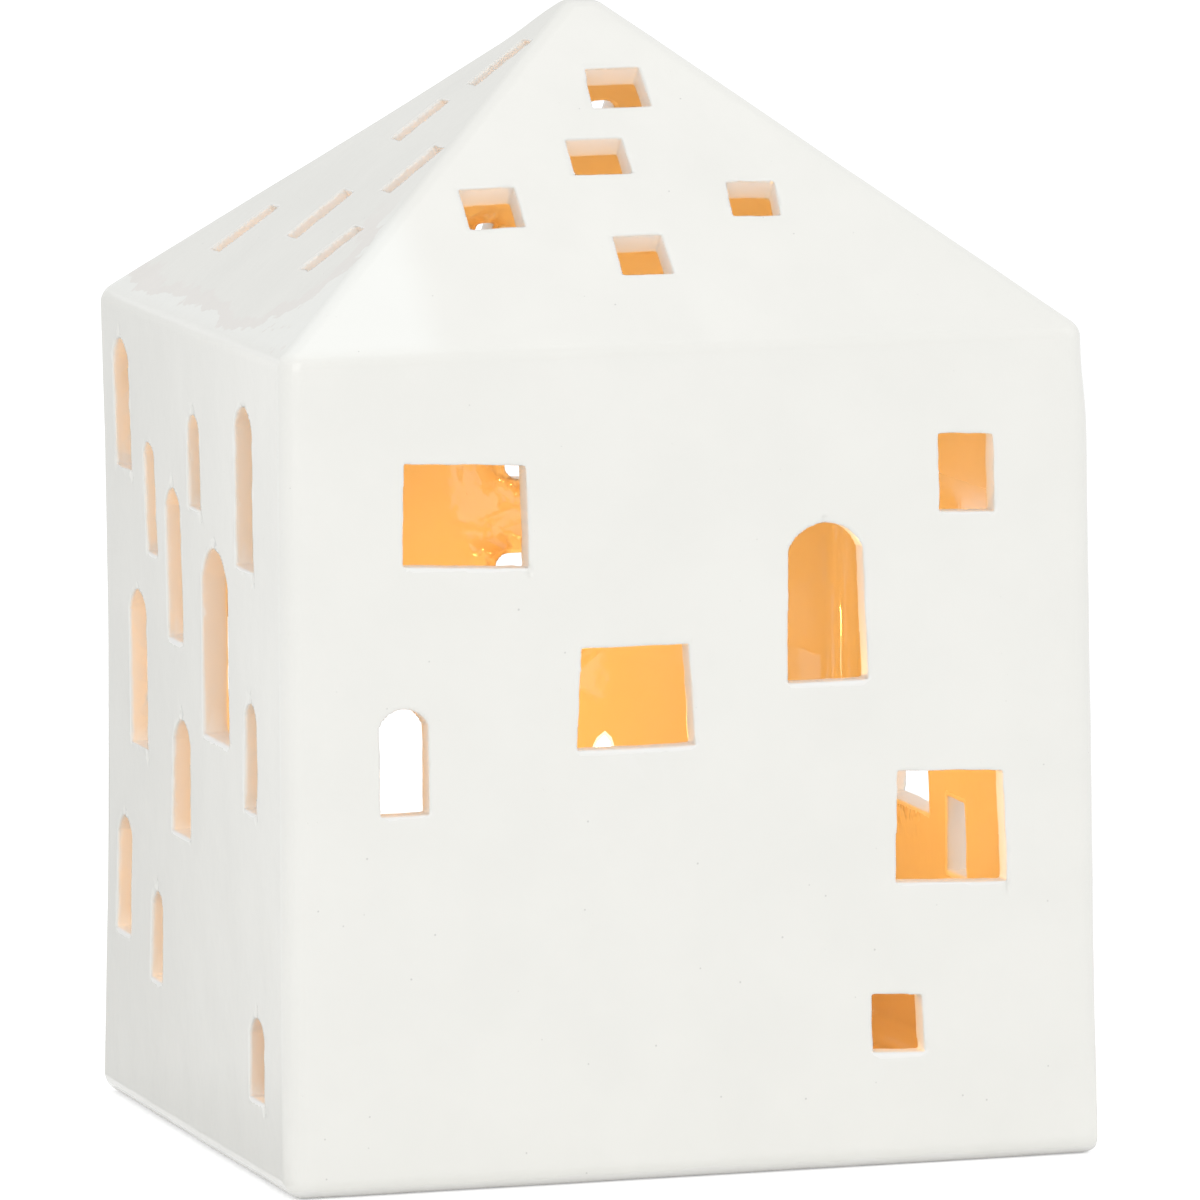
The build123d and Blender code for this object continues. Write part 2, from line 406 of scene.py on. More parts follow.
def painted_dark_streak(tree, place, glaze):
    """A thin grey line painted down the left wall near its back corner: a painted reflection of something
    dark in the glaze.
    """
    across, deep, height = axes_of(tree, place)
    drift = noise(tree, place, 16 * MM, seed=12.0)
    off_streak = maths(tree, "MULTIPLY_ADD", drift, 2.4 * MM, deep)
    off_streak = maths(tree, "SUBTRACT", off_streak, house_high.y - 1.6 * MM)
    line = fade(tree, maths(tree, "ABSOLUTE", off_streak), 0.08 * MM, 0.3 * MM)
    painted_streak = product(
        tree, line, fade(tree, across, -46.2 * MM, -45.4 * MM),
        ramp(tree, height, 26 * MM, 34 * MM), fade(tree, height, 70 * MM, 79 * MM), 0.55,
    )
    return blend(tree, painted_streak, glaze, (0.56, 0.55, 0.51))


def inner_glaze(tree, place, tone, smear):
    """The thin, creamy glaze inside, with painted shade low down where the cup's rim keeps the flame's
    light off, and brown where slip was smeared.
    """
    cream = blend(tree, tone, (0.85, 0.74, 0.5), (0.88, 0.775, 0.55))
    # Painted shade: darker and warmer near the bottom, where the cup's rim shadows the flame's light
    shore = noise(tree, place, 9 * MM, detail=3.0, seed=9.0)
    shore = maths(tree, "MULTIPLY_ADD", shore, 9 * MM, axes_of(tree, place)[2])
    cream = blend(tree, fade(tree, shore, 15 * MM, 19 * MM), cream, (0.8, 0.62, 0.4))
    return blend(tree, product(tree, smear, 0.9), cream, (0.72, 0.46, 0.17))


def cut_faces(tree, place, glaze, cut, sill):
    """The faces of the window cuts: glazed white, whiter still at the back, right and roof as painted
    light; a peach of painted warm light on the left; and painted light making the sills whiter.
    """
    across, deep, height = axes_of(tree, place)
    # White glaze on the cut faces, pushed whiter at the back, right and roof as painted light where these
    # reveals sit in dim light
    glaze_and_light_share = ramp(tree, deep, 38 * MM, 39 * MM, 0.5, 0.95)
    glaze_and_light_share = maths(tree, "MAXIMUM", glaze_and_light_share, ramp(tree, across, 44 * MM, 45 * MM, 0.5, 0.95))
    on_roof = ramp(tree, height, eave_height - 2 * MM, eave_height + 2 * MM, 0.5, 0.95)
    glaze_and_light_share = maths(tree, "MAXIMUM", glaze_and_light_share, on_roof)
    glaze = blend(tree, product(tree, cut, glaze_and_light_share), glaze, (0.91, 0.9, 0.875))
    # Peach on the left wall's cuts below the eave: painted warm light standing in for the candle's glow on
    # them
    clay = ramp(tree, across, -44.5 * MM, -43.5 * MM, 0.75, 0.0)
    clay = product(tree, clay, fade(tree, height, eave_height - 4 * MM, eave_height), cut)
    glaze = blend(tree, clay, glaze, (0.84, 0.76, 0.645))
    # Sills painted whiter: painted light falling on their upward faces
    return blend(tree, product(tree, sill, 0.9), glaze, (0.93, 0.925, 0.905))


def glaze_roughness(tree, place, inner, rim, cut, sill, bare):
    """Glossy outside and inside, satin high up inside on the right, duller on cuts and at the foot."""
    across, _, height = axes_of(tree, place)
    gloss = ramp(tree, noise(tree, place, 11 * MM, seed=3.0), 0.3, 0.7, 0.1, 0.2)
    dull = product(tree, ramp(tree, across, 16 * MM, 24 * MM), ramp(tree, height, 70 * MM, 76 * MM))
    gloss = mix(tree, inner, gloss, ramp(tree, dull, 0.0, 1.0, 0.04, 0.4, smooth=False))
    matt = product(tree, inner, ramp(tree, rim, 0.15, 0.5))
    matt = maths(tree, "MAXIMUM", matt, maths(tree, "MAXIMUM", cut, sill))
    return mix(tree, bare, mix(tree, matt, gloss, 0.55), 0.62)


def glaze_relief(tree, place, inner, smear, pinholes):
    """Fine and slow waves, pinholes, smears, and the inner back wall turned a little to one side."""
    across, deep, height = axes_of(tree, place)
    peel = noise(tree, place, 1.6 * MM, detail=1.0, seed=1.0)
    roll = noise(tree, place, 7 * MM, detail=1.0, seed=5.0)
    relief = maths(tree, "MULTIPLY_ADD", roll, 5.0, peel)
    relief = maths(tree, "MULTIPLY_ADD", pinholes, -2.0, relief)
    relief = maths(tree, "MULTIPLY_ADD", product(tree, smear, inner), 25.0, relief)
    turned = maths(tree, "MINIMUM", maths(tree, "SUBTRACT", across, 8 * MM), 0.0)
    turned = product(tree, turned, ramp(tree, height, 50 * MM, 60 * MM))
    turned = product(tree, turned, product(tree, inner, ramp(tree, deep, 34 * MM, 36 * MM)))
    relief = maths(tree, "MULTIPLY_ADD", turned, back_wall_turn / peel_depth, relief)
    return bump(tree, relief, peel_depth)


def make_white_glaze():
    """Off-white glossy glaze with pinholes, a painted reflection on the left slope, thin inside and wiped
    off the foot.
    """
    made, tree, surface, place = new_material("white_glaze", IOR=1.7)
    marks = ("rim", "inner", "sill", "cut", "smear")
    rim, inner, sill, cut, smear = [stored(tree, name) for name in marks]
    cut = product(tree, cut, fade(tree, inner, 0.8, 1.0))
    smear = product(tree, smear, ramp(tree, noise(tree, place, 3.2 * MM, seed=14.0), 0.4, 0.52))
    tone = mottle(tree, place, 14 * MM)
    pinholes = specks(tree, place, 1.1 * MM, 0.07, 0.12)
    iron_spots = specks(tree, place, 2.6 * MM, 0.055, 0.35)

    glaze = blend(tree, tone, (0.865, 0.854, 0.807), (0.888, 0.876, 0.828))
    # A darker band painted on the left slope near the eave: a painted reflection in the glaze
    glaze = painted_slope_reflection(tree, place, glaze)
    # A thin grey line near the left wall's back corner: a painted reflection
    glaze = painted_dark_streak(tree, place, glaze)
    glaze = blend(tree, product(tree, iron_spots, 0.5), glaze, (0.5, 0.49, 0.46))
    # Paler glaze close to the window rims: a painted highlight on their edges
    glaze = blend(tree, product(tree, ramp(tree, rim, 0.55, 1.0), 0.35), glaze, (0.9, 0.89, 0.865))
    glaze = blend(tree, inner, glaze, inner_glaze(tree, place, tone, smear))
    glaze = cut_faces(tree, place, glaze, cut, sill)

    wiped = noise(tree, place, 5 * MM, detail=3.0, seed=6.0)
    wiped = maths(tree, "MULTIPLY_ADD", wiped, -1.4 * MM, axes_of(tree, place)[2])
    bare = fade(tree, wiped, 0.15 * MM, 0.5 * MM)
    clay = blend(tree, tone, (0.86, 0.845, 0.81), (0.89, 0.878, 0.85))
    connect(
        tree, surface,
        Base_Color=blend(tree, bare, glaze, clay),
        Roughness=glaze_roughness(tree, place, inner, rim, cut, sill, bare),
        Normal=glaze_relief(tree, place, inner, smear, pinholes),
    )
    return made


# Materials of the candle

def make_drawn_metal(name, shade, light, polished, rubbed, ring_spacing, ring_depth):
    """Bright sheet metal with drawing rings and small dents, duller where it was handled."""
    made, tree, surface, place = new_material(name, Metallic=1.0)
    values = {"Vector": place, "Ring Spacing": ring_spacing}
    marks = put(tree, "ShaderNodeGroup", values, node_tree=drawn_metal_group)
    connect(
        tree, surface,
        Base_Color=blend(tree, marks.outputs["Rub"], shade, light),
        Roughness=ramp(tree, marks.outputs["Rub"], 0.0, 1.0, polished, rubbed),
        Normal=bump(tree, marks.outputs["Height"], ring_depth),
    )
    return made


def make_candle_wax():
    """White paraffin wax: cloudy where it is solid, wet and glossy in the melt pool."""
    made, tree, surface, place = new_material("candle_wax", IOR=1.44)
    surface.inputs["Subsurface Weight"].default_value = 0.35
    surface.inputs["Subsurface Radius"].default_value = (1.0, 0.75, 0.5)
    surface.inputs["Subsurface Scale"].default_value = 2.5 * MM
    radius = vectors(tree, "LENGTH", flat_of(tree, place))
    shore = noise(tree, place, 4 * MM, seed=7.0)
    shore_radius = maths(tree, "MULTIPLY_ADD", shore, 1.6 * MM, radius)
    at_top = ramp(tree, axes_of(tree, place)[2], wax_high.z - 1.5 * MM, wax_high.z - 1.0 * MM)
    wet = product(tree, fade(tree, shore_radius, 12.2 * MM, 13.2 * MM), at_top)
    solid = blend(tree, mottle(tree, place, 2.2 * MM), (0.87, 0.85, 0.79), (0.92, 0.905, 0.86))
    colour = blend(tree, wet, solid, (0.84, 0.79, 0.68))
    soot = specks(tree, place, 2.4 * MM, 0.07, 0.2)
    grain = noise(tree, place, 0.9 * MM, detail=3.0, seed=8.0)
    grain = product(tree, grain, maths(tree, "SUBTRACT", 1.0, wet))
    connect(
        tree, surface,
        Base_Color=blend(tree, product(tree, soot, 0.7), colour, (0.08, 0.06, 0.05)),
        Roughness=ramp(tree, wet, 0.0, 1.0, 0.48, 0.06),
        Normal=bump(tree, grain, 0.05 * MM),
    )
    return made


def make_wick_cotton():
    """Braided cotton, waxed below, charred above the wax and glowing at the tip."""
    made, tree, surface, place = new_material("wick_cotton", Roughness=0.85)
    surface.inputs["Emission Strength"].default_value = 2.0
    fibres = noise(tree, place, 0.25 * MM, detail=3.0)
    ragged = maths(tree, "MULTIPLY_ADD", fibres, 1.2 * MM, axes_of(tree, place)[2])
    charred = ramp(tree, ragged, wax_high.z + 0.8 * MM, wax_high.z + 2.4 * MM)
    cotton = blend(tree, fibres, (0.66, 0.6, 0.5), (0.82, 0.78, 0.68))
    char = blend(tree, fibres, (0.012, 0.011, 0.01), (0.05, 0.043, 0.038))
    ember = ramp(tree, ragged, wick_high.z - 0.5 * MM, wick_high.z + 0.4 * MM)
    connect(
        tree, surface,
        Base_Color=blend(tree, charred, cotton, char),
        Emission_Color=blend(tree, ember, (0.0, 0.0, 0.0), (1.0, 0.2, 0.03)),
        Normal=bump(tree, fibres, 0.06 * MM),
    )
    return made


def make_flame_light(name, strength, tip_alpha, base_alpha):
    """Burning gas: blue and faint round the wick, yellow and white towards the tip."""
    made, tree, surface, place = new_material(name, Roughness=1.0)
    surface.inputs["Base Color"].default_value = (0, 0, 0, 1)
    surface.inputs["Specular IOR Level"].default_value = 0.0
    surface.inputs["Emission Strength"].default_value = strength
    up = ramp(tree, axes_of(tree, place)[2], flame_base, flame_tip.z, smooth=False)
    low_part = blend(tree, ramp(tree, up, 0.02, 0.2), (0.12, 0.22, 0.9), (1.0, 0.48, 0.1))
    connect(
        tree, surface,
        Emission_Color=blend(tree, ramp(tree, up, 0.2, 0.55), low_part, (1.0, 0.82, 0.5)),
        Alpha=ramp(tree, up, 0.0, 0.35, base_alpha, tip_alpha),
    )
    return made


white_glaze = make_white_glaze()
cup_aluminium = make_drawn_metal(
    "cup_aluminium", (0.78, 0.79, 0.8), (0.88, 0.885, 0.89), 0.2, 0.36, 0.25 * MM, 0.01 * MM
)
tinplate = make_drawn_metal(
    "tinplate", (0.6, 0.6, 0.6), (0.74, 0.74, 0.73), 0.25, 0.45, 0.4 * MM, 0.006 * MM
)
candle_wax = make_candle_wax()
wick_cotton = make_wick_cotton()
flame_mantle_light = make_flame_light("flame_mantle_light", 1.8, 0.7, 0.06)
flame_core_light = make_flame_light("flame_core_light", 20.0, 1.0, 0.2)


# House shell

def joined_copy(node):
    """A bmesh of a CAD node with its loose triangles joined at their corners."""
    work = bmesh.new()
    work.from_mesh(frame["nodes"][node].data)
    bmesh.ops.remove_doubles(work, verts=work.verts, dist=join_distance)
    work.faces.ensure_lookup_table()
    return work


def wall_skins(work):
    """Planes of the shell's large flat faces as (normal, distance, is_outer), the foot left out."""
    found = {}
    middle = Vector((0, 0, house_high.z / 2))
    for face in work.faces:
        centre = face.calc_center_median()
        distance = face.normal.dot(centre)
        key = (*(round(c, 3) for c in face.normal), round(distance / skin_step))
        plane = found.setdefault(key, [0.0, face.normal.copy(), distance, centre])
        plane[0] += face.calc_area()
    return [
        (normal, distance, normal.dot(centre - middle) > 0)
        for area, normal, distance, centre in found.values() if area > skin_area and normal.z > -0.9
    ]


def skin_of(face, skins):
    """The skin that a face lies in, or None."""
    centre = face.calc_center_median()
    for skin in skins:
        if face.normal.dot(skin[0]) > 0.999 and abs(skin[0].dot(centre) - skin[1]) < skin_reach:
            return skin
    return None


def window_rims(work, skins):
    """The edges where windows break through the skins, as (edge, skin) pairs."""
    found = []
    for edge in work.edges:
        if len(edge.link_faces) == 2 and edge.calc_face_angle() > sharp_edge:
            both = [skin_of(face, skins) for face in edge.link_faces]
            if (both[0] is None) != (both[1] is None):
                found.append((edge, both[0] or both[1]))
    return found


def edge_mesh(name, lines):
    """A mesh that holds only lines, for geometry trees to measure from."""
    mesh = bpy.data.meshes.new(name)
    points = [point for line in lines for point in line]
    mesh.from_pydata(points, [(2 * i, 2 * i + 1) for i in range(len(lines))], [])
    return mesh


def outer_windows(rims):
    """For each window, the skin that it is cut through and the corners of its outer rim."""
    groups = []
    for edge, skin in rims:
        if not skin[2]:
            continue
        touching = [group for group in groups if any(v in group[1] for v in edge.verts)]
        merged = (skin, set(edge.verts))
        for group in touching:
            merged[1].update(group[1])
            groups.remove(group)
        groups.append(merged)
    return [(skin, [v.co.copy() for v in corners]) for skin, corners in groups]


def knife_nicks(windows):
    """Short lines where the knife overran a wall window's corner, or its head where that is round."""
    draw = random.Random(11)
    nicks = []
    for (normal, _, _), corners in sorted(windows, key=lambda window: tuple(window[1][0])):
        if normal.z > roof_normal_z:
            continue
        up = (Vector((0, 0, 1)) - normal.z * normal).normalized()
        across = up.cross(normal)
        head = max(corners, key=lambda point: point.dot(up))
        sill_right = max(corners, key=lambda point: point.dot(across) - point.dot(up))
        if len(corners) > square_corners and draw.random() < head_nick_chance:
            rise = (up + across * draw.uniform(-0.2, 0.2)).normalized()
            nicks.append((head, head + rise * draw.uniform(0.5, 1.5) * MM))
        if draw.random() < sill_nick_chance:
            fall = (-up + across * draw.uniform(-0.1, 0.35)).normalized()
            nicks.append((sill_right, sill_right + fall * draw.uniform(0.6, 1.8) * MM))
    return nicks


def distance_to(tree, lines):
    """How far each point is from the lines of an object."""
    shape = put(tree, "GeometryNodeObjectInfo", {"Object": lines}).outputs["Geometry"]
    return put(tree, "GeometryNodeProximity", {0: shape}, target_element="EDGES").outputs["Distance"]


def blurred(tree, value, kind, times, weight):
    """A value of the points, evened out so many times with their neighbours."""
    made = put(tree, "GeometryNodeBlurAttribute", {"Iterations": times, "Weight": weight}, data_type=kind)
    tree.links.new(value, next(i for i in made.inputs if i.enabled and i.name == "Value"))
    return next(o for o in made.outputs if o.enabled)


def lumps(tree, given, place, size, draw, output=0):
    """A noise of this size that follows the tree's seed."""
    seed = maths(tree, "ADD", given["Seed"], draw)
    return noise(tree, place, size, detail=1.0, seed=seed, output=output)


def skin_height(tree, given, place, outer, rim, rim_distance):
    """How far the skin stands out: slow waves, burrs at the rims and nicks of the knife."""
    wave = maths(tree, "SUBTRACT", lumps(tree, given, place, given["Wave Size"], 0.0), 0.62)
    wave = product(tree, wave, given["Wave Height"], 2.0)
    burr = lumps(tree, given, place, given["Burr Size"], 5.0)
    burr = product(tree, ramp(tree, burr, 0.5, 0.68, 0.0, given["Burr Height"]), rim, outer)
    nick = fade(tree, distance_to(tree, given["Nicks"]), 0.0, given["Nick Width"])
    nick_fade = ramp(tree, rim_distance, 0.6 * MM, 1.8 * MM, 1.0, 0.15)
    nick = product(tree, nick, nick_fade, given["Nick Depth"], outer)
    return maths(tree, "SUBTRACT", maths(tree, "ADD", wave, burr), nick)


def rim_wobble(tree, given, place, rim, over_eave):
    """The wander of the window rims, which is larger in the walls than in the roof."""
    colour = lumps(tree, given, place, given["Wobble Size"], 9.0, output=1)
    wobble = vectors(tree, "SUBTRACT", colour, (0.5, 0.5, 0.5))
    wobble = scaled(tree, wobble, product(tree, rim, given["Rim Wobble"]))
    return scaled(tree, wobble, ramp(tree, over_eave, -2 * MM, 2 * MM, 2.0, 0.9))


def wall_pull(tree, given, up, over_eave, to_left, to_back):
    """The bow of the back left corner, the sag of the hip above it and the flare at the front right."""
    bow = product(tree, maths(tree, "SINE", product(tree, up, pi)), given["Draw In"])
    bow = product(tree, to_left, to_back, bow)
    pull = scaled(tree, vector_of(tree, X=1.0, Y=-0.35), bow)

    roof_rise = maths(tree, "SUBTRACT", given["Full Height"], given["Eave Height"])
    up_roof = maths(tree, "DIVIDE", over_eave, roof_rise)
    sagging = product(tree, ramp(tree, up_roof, 0.0, 0.7), fade(tree, up_roof, 0.86, 1.0))
    off_hip = maths(tree, "SUBTRACT", maths(tree, "ADD", to_left, to_back), 1.0)
    at_hip = maths(tree, "ABSOLUTE", maths(tree, "SUBTRACT", to_left, to_back))
    at_hip = product(tree, fade(tree, at_hip, 0.0, 0.16), ramp(tree, off_hip, 0.0, 0.12))
    sag = product(tree, sagging, at_hip, given["Hip Sag"])
    pull = vectors(tree, "ADD", pull, scaled(tree, vector_of(tree, X=0.35, Y=-0.37, Z=-0.86), sag))

    flare = product(tree, fade(tree, up, 0.88, 0.98), given["Flare"])
    foot_flare = product(tree, fade(tree, up, 0.02, 0.2), given["Foot Flare"])
    near_right = product(tree, fade(tree, to_left, 0.0, 0.09), fade(tree, to_back, 0.0, 0.35))
    flare = product(tree, maths(tree, "ADD", flare, foot_flare), near_right)
    return vectors(tree, "ADD", pull, vector_of(tree, X=flare))


def make_hand_finish_tree():
    """Takes the shell's cast and cut surfaces to hand-finished, glazed ones."""
    inputs = {
        "Geometry": "Geometry", "Rims": "Object", "Nicks": "Object",
        "Wave Height": 0.12 * MM, "Wave Size": 20 * MM,
        "Rim Reach": 0.9 * MM, "Rounding": 1,
        "Rim Wobble": 0.16 * MM, "Wobble Size": 2.6 * MM,
        "Burr Height": 0.05 * MM, "Burr Size": 2.4 * MM,
        "Nick Depth": 0.32 * MM, "Nick Width": 0.45 * MM,
        "Draw In": 0.7 * MM, "Hip Sag": 0.45 * MM, "Flare": 0.55 * MM, "Foot Flare": 0.7 * MM,
        "Smear Reach": 3.2 * MM, "Sill Spread": 9,
        "Eave Height": 95 * MM, "Half Width": 48 * MM, "Half Depth": 42 * MM, "Full Height": 131 * MM,
        "Seed": 3.0, "Material": "Material",
    }
    tree, start, end = new_tree("GeometryNodeTree", "hand_finish", inputs, {"Geometry": "Geometry"})
    given = start.outputs
    place = put(tree, "GeometryNodeInputPosition").outputs[0]
    normal = put(tree, "GeometryNodeInputNormal").outputs[0]
    outer = put(tree, "GeometryNodeInputNamedAttribute", {"Name": "outer"}, data_type="FLOAT").outputs[0]
    across, deep, height = axes_of(tree, place)
    over_eave = maths(tree, "SUBTRACT", height, given["Eave Height"])
    up = ramp(tree, height, 0.0, given["Eave Height"], smooth=False)
    to_left = maths(tree, "DIVIDE", across, given["Half Width"])
    to_left = maths(tree, "MULTIPLY_ADD", to_left, -0.5, 0.5)
    to_back = maths(tree, "DIVIDE", deep, given["Half Depth"])
    to_back = maths(tree, "MULTIPLY_ADD", to_back, 0.5, 0.5)
    rim_distance = distance_to(tree, given["Rims"])
    rim = fade(tree, rim_distance, 0.0, given["Rim Reach"])

    weight = ramp(tree, rim_distance, 0.2 * MM, 0.5 * MM, 0.8, 0.0)
    rounding = blurred(tree, place, "FLOAT_VECTOR", given["Rounding"], weight)
    rounding = vectors(tree, "SUBTRACT", rounding, place)
    push = scaled(tree, normal, skin_height(tree, given, place, outer, rim, rim_distance))
    wobble = rim_wobble(tree, given, place, rim, over_eave)
    pull = wall_pull(tree, given, up, over_eave, to_left, to_back)
    offset = vectors(tree, "ADD", vectors(tree, "ADD", push, wobble), vectors(tree, "ADD", pull, rounding))
    shape = put(tree, "GeometryNodeSetPosition", {"Geometry": given["Geometry"], "Offset": offset})

    # Upward faces of the cuts, which the glaze paints whiter as painted light from above
    upward = ramp(tree, axes_of(tree, normal)[2], 0.8, 0.95)
    cut = product(tree, fade(tree, outer, 0.2, 0.7), fade(tree, rim_distance, 1.6 * MM, 2.1 * MM))
    sill = blurred(tree, product(tree, upward, cut), "FLOAT", given["Sill Spread"], 1.0)
    smear = fade(tree, rim_distance, 0.0, given["Smear Reach"])
    smear = product(tree, smear, ramp(tree, to_back, 0.6, 0.8))
    marks = {"rim": rim, "sill": ramp(tree, sill, 0.0, 0.3), "cut": cut, "smear": smear}
    for name, value in marks.items():
        shape = put(
            tree, "GeometryNodeStoreNamedAttribute",
            {"Geometry": shape.outputs[0], "Name": name, "Value": value},
            data_type="FLOAT", domain="POINT",
        )
    return end_geometry(tree, end, shape.outputs[0], given["Material"])


def mark_skins(mesh, skins):
    """Gives each point how fully it lies on the shell's outside, and on its inside."""
    points = points_of(mesh)
    outside = [(np.array(normal), distance) for normal, distance, is_outer in skins if is_outer]
    depth = np.min([distance - points @ normal for normal, distance in outside], axis=0)
    shares = {
        "outer": np.clip(1.6 - depth / (0.3 * MM), 0, 1),
        "inner": np.clip((depth - 0.9 * MM) / (2.3 * MM), 0, 1),
    }
    for name, share in shares.items():
        mesh.attributes.new(name, "FLOAT", "POINT").data.foreach_set("value", share)


def close_mesh(mesh):
    """Merges the ends of edges that more or fewer than two faces share."""
    work = bmesh.new()
    work.from_mesh(mesh)
    bad = [edge for edge in work.edges if not edge.is_manifold]
    while bad:
        bmesh.ops.collapse(work, edges=bad)
        bad = [edge for edge in work.edges if not edge.is_manifold and edge.link_faces]
    loose = [edge for edge in work.edges if not edge.link_faces]
    bmesh.ops.delete(work, geom=loose, context="EDGES")
    work.to_mesh(mesh)
    work.free()


def keep_inside(mesh, low, high):
    """Holds every point of the mesh within a box."""
    held = np.clip(points_of(mesh), np.array(low), np.array(high))
    mesh.vertices.foreach_set("co", held.ravel())
    mesh.update()


def make_house_shell():
    """The whole ceramic house as one closed, finely meshed casting."""
    work = joined_copy("house_shell")
    skins = wall_skins(work)
    rims = window_rims(work, skins)
    rim_ends = [[v.co for v in edge.verts] for edge, _ in rims]
    rim_lines = new_object("rim_lines", edge_mesh("rim_lines", rim_ends))
    nick_lines = new_object("nick_lines", edge_mesh("nick_lines", knife_nicks(outer_windows(rims))))

    mesh = bpy.data.meshes.new("ceramic_house")
    work.to_mesh(mesh)
    work.free()
    house = new_object("ceramic_house", mesh)
    finer = house.modifiers.new("finer", "REMESH")
    finer.mode = "SHARP"
    finer.octree_depth = shell_depth
    finer.scale = shell_fill
    finer.use_remove_disconnected = False
    settle(house)
    mark_skins(house.data, skins)

    values = {
        "Rims": rim_lines, "Nicks": nick_lines, "Eave Height": eave_height,
        "Half Width": house_high.x, "Half Depth": house_high.y, "Full Height": house_high.z,
        "Material": white_glaze,
    }
    settle(add_tree(house, make_hand_finish_tree(), values))
    for lines in (rim_lines, nick_lines):
        bpy.data.objects.remove(lines)

    fewer = house.modifiers.new("fewer", "DECIMATE")
    fewer.ratio = shell_triangles / (2 * len(house.data.polygons))
    settle(house)
    close_mesh(house.data)
    keep_inside(house.data, house_low, house_high)
    smooth_faces(house.data)
    flatter = house.modifiers.new("even_normals", "WEIGHTED_NORMAL")
    flatter.mode = "FACE_AREA"
    settle(house)
    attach(house, "house")
    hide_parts("house_shell")
    return house


# Candle pieces

def turned_mesh(name, profile, steps, centre_line=None, closed=False):
    """A closed surface turned round Z from (radius, height) points, bottom to top or in a ring."""
    verts = []
    rows = []
    for radius, height in profile:
        shift = centre_line(height) if centre_line else Vector((0, 0, 0))
        if radius < join_distance:
            rows.append([len(verts)])
            verts.append(Vector((0, 0, height)) + shift)
            continue
        rows.append(list(range(len(verts), len(verts) + steps)))
        for i in range(steps):
            angle = tau * i / steps
            verts.append(Vector((radius * cos(angle), radius * sin(angle), height)) + shift)
    faces = []
    pairs = list(zip(rows, rows[1:] + rows[:1] if closed else rows[1:]))
    for lower, upper in pairs:
        for i in range(steps):
            ring = [lower[i % len(lower)], lower[(i + 1) % len(lower)]]
            ring += [upper[(i + 1) % len(upper)], upper[i % len(upper)]]
            corners = list(dict.fromkeys(ring))
            if len(corners) > 2:
                faces.append(corners)
    mesh = bpy.data.meshes.new(name)
    mesh.from_pydata(verts, [], faces)
    work = bmesh.new()
    work.from_mesh(mesh)
    bmesh.ops.recalc_face_normals(work, faces=work.faces)
    work.to_mesh(mesh)
    work.free()
    return smooth_faces(mesh)


def arc_points(centre, radius, start, end, count):
    """Points of an arc in a profile, its angles in degrees."""
    angles = [radians(start + (end - start) * i / (count - 1)) for i in range(count)]
    return [(centre[0] + radius * cos(a), centre[1] + radius * sin(a)) for a in angles]


def line_points(start, end, count):
    """Points of a straight stretch of a profile, its start left out."""
    return [
        (start[0] + (end[0] - start[0]) * i / count, start[1] + (end[1] - start[1]) * i / count)
        for i in range(1, count + 1)
    ]


def make_flutes_tree():
    """Presses upright flutes into a cup's wall and leaves its foot and rim round."""
    inputs = {
        "Geometry": "Geometry", "Flutes": cup_flutes, "Flute Depth": 0.2 * MM,
        "Low End": 2 * MM, "High End": 13 * MM, "End Length": 1.2 * MM, "Least Radius": 16 * MM,
        "Crinkle": 0.08 * MM, "Crinkle Size": 2.5 * MM, "Seed": 2.0, "Material": "Material",
    }
    tree, start, end = new_tree("GeometryNodeTree", "press_flutes", inputs, {"Geometry": "Geometry"})
    given = start.outputs
    place = put(tree, "GeometryNodeInputPosition").outputs[0]
    across, deep, height = axes_of(tree, place)
    flat = flat_of(tree, place)
    turns = product(tree, maths(tree, "ARCTAN2", deep, across), given["Flutes"])
    pressed = maths(tree, "MULTIPLY_ADD", maths(tree, "COSINE", turns), -0.5, 0.5)
    pressed = maths(tree, "POWER", pressed, 3.0)
    low_end = maths(tree, "ADD", given["Low End"], given["End Length"])
    high_end = maths(tree, "SUBTRACT", given["High End"], given["End Length"])
    above = ramp(tree, height, given["Low End"], low_end)
    below = fade(tree, height, high_end, given["High End"])
    on_wall = maths(tree, "GREATER_THAN", vectors(tree, "LENGTH", flat), given["Least Radius"])
    reach = product(tree, above, below, on_wall)
    depth = product(tree, pressed, reach, given["Flute Depth"])
    crinkle = noise(tree, place, given["Crinkle Size"], seed=given["Seed"])
    crinkle = product(tree, maths(tree, "SUBTRACT", crinkle, 0.5), given["Crinkle"], reach)
    outwards = vectors(tree, "NORMALIZE", flat)
    offset = scaled(tree, outwards, maths(tree, "SUBTRACT", crinkle, depth))
    moved = put(tree, "GeometryNodeSetPosition", {"Geometry": given["Geometry"], "Offset": offset})
    return end_geometry(tree, end, moved.outputs[0], given["Material"])


